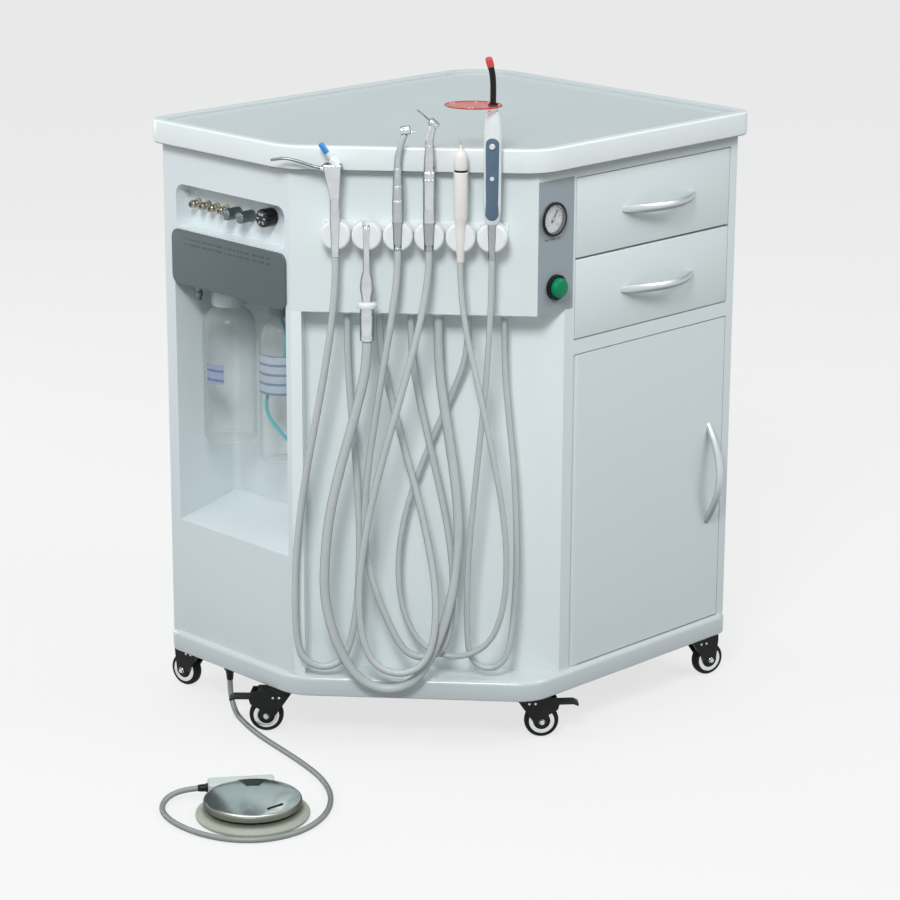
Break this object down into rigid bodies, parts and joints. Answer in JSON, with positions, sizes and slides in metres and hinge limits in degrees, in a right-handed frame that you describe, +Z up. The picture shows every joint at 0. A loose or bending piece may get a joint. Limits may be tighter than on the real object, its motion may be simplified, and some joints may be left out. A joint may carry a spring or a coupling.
{
  "type": "portable dental unit",
  "caption": "Mobile dental treatment cabinet with drawers, door, bottle bay, cut-corner console of instruments on hoses, and a foot control.",
  "frame": {"origin": "on the floor, at the centre of the footprint of everything but the hoses, foot control included", "axes": "+X to the right of the drawer side, +Y from the drawer side to the back, +Z up; the bottle bay faces -X"},
  "size_m": [0.9869, 0.5897, 1],
  "materials": {
    "bay_liner": "satin",
    "black_metal": "satin",
    "black_plastic": "satin",
    "blue_button": "gloss",
    "bottle_plastic": "gloss",
    "brass_fitting": "plated",
    "chrome": "mirror",
    "compressor_paint": "painted",
    "dark_grey": "satin",
    "dark_hose": "matte",
    "green_button": "satin",
    "grey_fascia": "satin",
    "handle_silver": "satin",
    "handpiece_grey": "satin",
    "light_grey_hose": "matte",
    "orange_shield": "gloss",
    "pedal_base": "satin",
    "steel": "brushed",
    "teal_tube": "gloss",
    "tray": "satin",
    "tread": "matte",
    "white_board": "satin",
    "white_panel": "satin",
    "white_plastic": "gloss"
  },
  "bodies": {
    "cabinet": {"worktop": "tray", "base_plinth": "white_plastic", "wrapper_panel": "white_panel", "bottle_bay": "bay_liner", "front_frame": "white_board", "centre_panel": "white_panel", "console_housing": "white_plastic", "console_fascia": "grey_fascia", "instrument_holders": "white_plastic", "bottle_panel": "dark_grey", "quick_connectors": "brass_fitting", "castor_plates": "black_metal", "compressor": "compressor_paint", "gauge_case": "black_plastic", "foot_control_base": "pedal_base", "hose_syringe": "light_grey_hose", "hose_suction": "light_grey_hose", "hose_high_speed": "light_grey_hose", "hose_low_speed": "light_grey_hose", "hose_scaler": "light_grey_hose", "hose_curing_light": "light_grey_hose", "hose_foot_control": "dark_hose", "bottle_tube": "teal_tube"},
    "drawer_upper": {"drawer_upper": "white_board", "drawer_handle_upper": "handle_silver"},
    "drawer_lower": {"drawer_lower": "white_board", "drawer_handle_lower": "handle_silver"},
    "door": {"door": "white_board", "door_handle": "handle_silver"},
    "large_bottle": {"large_bottle": "bottle_plastic"},
    "small_bottle": {"small_bottle": "bottle_plastic"},
    "gauge_needle": {"gauge_needle": "black_plastic"},
    "power_button": {"power_button": "green_button"},
    "pressure_knob": {"pressure_knob": "black_plastic"},
    "flow_knob_left": {"flow_knob_left": "steel"},
    "flow_knob_right": {"flow_knob_right": "steel"},
    "syringe": {"syringe": "chrome"},
    "suction_handpiece": {"suction_handpiece": "handpiece_grey"},
    "high_speed_handpiece": {"high_speed_handpiece": "steel"},
    "low_speed_handpiece": {"low_speed_handpiece": "steel"},
    "ultrasonic_scaler": {"ultrasonic_scaler": "handpiece_grey"},
    "curing_light": {"curing_light": "handpiece_grey", "curing_light_guide": "orange_shield"},
    "syringe_air_button": {"syringe_air_button": "blue_button"},
    "syringe_water_button": {"syringe_water_button": "white_plastic"},
    "curing_light_button": {"curing_light_button": "white_plastic"},
    "foot_control_cover": {"foot_control_cover": "chrome"},
    "castor_fork_1": {"castor_fork_1": "black_metal"},
    "castor_wheel_1": {"castor_wheel_1": "tread"},
    "castor_fork_2": {"castor_fork_2": "black_metal"},
    "castor_wheel_2": {"castor_wheel_2": "tread"},
    "castor_fork_3": {"castor_fork_3": "black_metal"},
    "castor_wheel_3": {"castor_wheel_3": "tread"},
    "castor_fork_4": {"castor_fork_4": "black_metal"},
    "castor_wheel_4": {"castor_wheel_4": "tread"},
    "castor_fork_5": {"castor_fork_5": "black_metal"},
    "castor_wheel_5": {"castor_wheel_5": "tread"},
    "castor_brake_1": {"castor_brake_1": "black_metal"},
    "castor_brake_2": {"castor_brake_2": "black_metal"}
  },
  "joints": [
    {"name": "drawer_upper_slide", "type": "slide", "parent": "cabinet", "child": "drawer_upper", "axis": [0, -1, 0], "range_m": [0, 0.28]},
    {"name": "drawer_lower_slide", "type": "slide", "parent": "cabinet", "child": "drawer_lower", "axis": [0, -1, 0], "range_m": [0, 0.28]},
    {"name": "door_hinge", "type": "hinge", "parent": "cabinet", "child": "door", "pos_m": [0.13, -0.253, 0.33], "axis": [0, 0, -1], "range_deg": [0, 95]},
    {"name": "large_bottle_unscrew", "type": "hinge", "parent": "cabinet", "child": "large_bottle", "pos_m": [-0.1235, 0.194, 0.5], "axis": [0, 0, 1], "range_deg": [0, 360]},
    {"name": "small_bottle_unscrew", "type": "hinge", "parent": "cabinet", "child": "small_bottle", "pos_m": [-0.1235, 0.082, 0.5], "axis": [0, 0, 1], "range_deg": [0, 360]},
    {"name": "gauge_needle_turn", "type": "hinge", "parent": "cabinet", "child": "gauge_needle", "pos_m": [0.0725, -0.262, 0.77], "axis": [0, 1, 0], "range_deg": [-170, 100]},
    {"name": "power_button_press", "type": "slide", "parent": "cabinet", "child": "power_button", "axis": [0, 1, 0], "range_m": [0, 0.004], "stiffness_N_per_m": 200},
    {"name": "pressure_knob_turn", "type": "hinge", "parent": "cabinet", "child": "pressure_knob", "pos_m": [-0.1545, 0.06, 0.757], "axis": [-1, 0, 0], "range_deg": [0, 270]},
    {"name": "flow_knob_left_turn", "type": "hinge", "parent": "cabinet", "child": "flow_knob_left", "pos_m": [-0.1545, 0.131, 0.752], "axis": [-1, 0, 0], "continuous": true},
    {"name": "flow_knob_right_turn", "type": "hinge", "parent": "cabinet", "child": "flow_knob_right", "pos_m": [-0.1545, 0.102, 0.752], "axis": [-1, 0, 0], "continuous": true},
    {"name": "syringe_lift", "type": "slide", "parent": "cabinet", "child": "syringe", "axis": [0, 0, 1], "range_m": [0, 0.06]},
    {"name": "suction_handpiece_lift", "type": "slide", "parent": "cabinet", "child": "suction_handpiece", "axis": [0, 0, 1], "range_m": [0, 0.024]},
    {"name": "high_speed_handpiece_lift", "type": "slide", "parent": "cabinet", "child": "high_speed_handpiece", "axis": [0, 0, 1], "range_m": [0, 0.06]},
    {"name": "low_speed_handpiece_lift", "type": "slide", "parent": "cabinet", "child": "low_speed_handpiece", "axis": [0, 0, 1], "range_m": [0, 0.06]},
    {"name": "ultrasonic_scaler_lift", "type": "slide", "parent": "cabinet", "child": "ultrasonic_scaler", "axis": [0, 0, 1], "range_m": [0, 0.034]},
    {"name": "curing_light_lift", "type": "slide", "parent": "cabinet", "child": "curing_light", "axis": [0, 0, 1], "range_m": [0, 0.06]},
    {"name": "syringe_air_press", "type": "slide", "parent": "syringe", "child": "syringe_air_button", "axis": [0.377, -0.4323, -0.8192], "range_m": [0, 0.0025], "stiffness_N_per_m": 300},
    {"name": "syringe_water_press", "type": "slide", "parent": "syringe", "child": "syringe_water_button", "axis": [0.377, -0.4323, -0.8192], "range_m": [0, 0.0025], "stiffness_N_per_m": 300},
    {"name": "curing_light_press", "type": "slide", "parent": "curing_light", "child": "curing_light_button", "axis": [0.7537, 0.6573, 0], "range_m": [0, 0.0012], "stiffness_N_per_m": 500},
    {"name": "foot_control_press", "type": "slide", "parent": "cabinet", "child": "foot_control_cover", "axis": [0, 0, -1], "range_m": [0, 0.0035], "stiffness_N_per_m": 2500},
    {"name": "castor_swivel_1", "type": "hinge", "parent": "cabinet", "child": "castor_fork_1", "pos_m": [-0.1465, 0.25, 0.06], "axis": [0, 0, 1], "continuous": true},
    {"name": "castor_roll_1", "type": "hinge", "parent": "castor_fork_1", "child": "castor_wheel_1", "pos_m": [-0.15084, 0.27462, 0.025], "axis": [-0.9848, -0.1736, 0], "continuous": true},
    {"name": "castor_swivel_2", "type": "hinge", "parent": "cabinet", "child": "castor_fork_2", "pos_m": [-0.1685, 0.034, 0.06], "axis": [0, 0, 1], "continuous": true},
    {"name": "castor_roll_2", "type": "hinge", "parent": "castor_fork_2", "child": "castor_wheel_2", "pos_m": [-0.18618, 0.05168, 0.025], "axis": [-0.7071, -0.7071, 0], "continuous": true},
    {"name": "castor_swivel_3", "type": "hinge", "parent": "cabinet", "child": "castor_fork_3", "pos_m": [0.0655, -0.226, 0.06], "axis": [0, 0, 1], "continuous": true},
    {"name": "castor_roll_3", "type": "hinge", "parent": "castor_fork_3", "child": "castor_wheel_3", "pos_m": [0.08465, -0.24207, 0.025], "axis": [0.6428, 0.766, 0], "continuous": true},
    {"name": "castor_swivel_4", "type": "hinge", "parent": "cabinet", "child": "castor_fork_4", "pos_m": [0.4255, -0.238, 0.06], "axis": [0, 0, 1], "continuous": true},
    {"name": "castor_roll_4", "type": "hinge", "parent": "castor_fork_4", "child": "castor_wheel_4", "pos_m": [0.44953, -0.24489, 0.025], "axis": [0.2756, 0.9613, 0], "continuous": true},
    {"name": "castor_swivel_5", "type": "hinge", "parent": "cabinet", "child": "castor_fork_5", "pos_m": [0.3995, 0.208, 0.06], "axis": [0, 0, 1], "continuous": true},
    {"name": "castor_roll_5", "type": "hinge", "parent": "castor_fork_5", "child": "castor_wheel_5", "pos_m": [0.41384, 0.22848, 0.025], "axis": [-0.8192, 0.5736, 0], "continuous": true},
    {"name": "castor_brake_press_1", "type": "hinge", "parent": "castor_fork_2", "child": "castor_brake_1", "pos_m": [-0.20032, 0.06582, 0.049], "axis": [-0.7071, -0.7071, 0], "range_deg": [0, 15]},
    {"name": "castor_brake_press_2", "type": "hinge", "parent": "castor_fork_3", "child": "castor_brake_2", "pos_m": [0.09997, -0.25493, 0.049], "axis": [0.6428, 0.766, 0], "range_deg": [0, 15]}
  ]
}
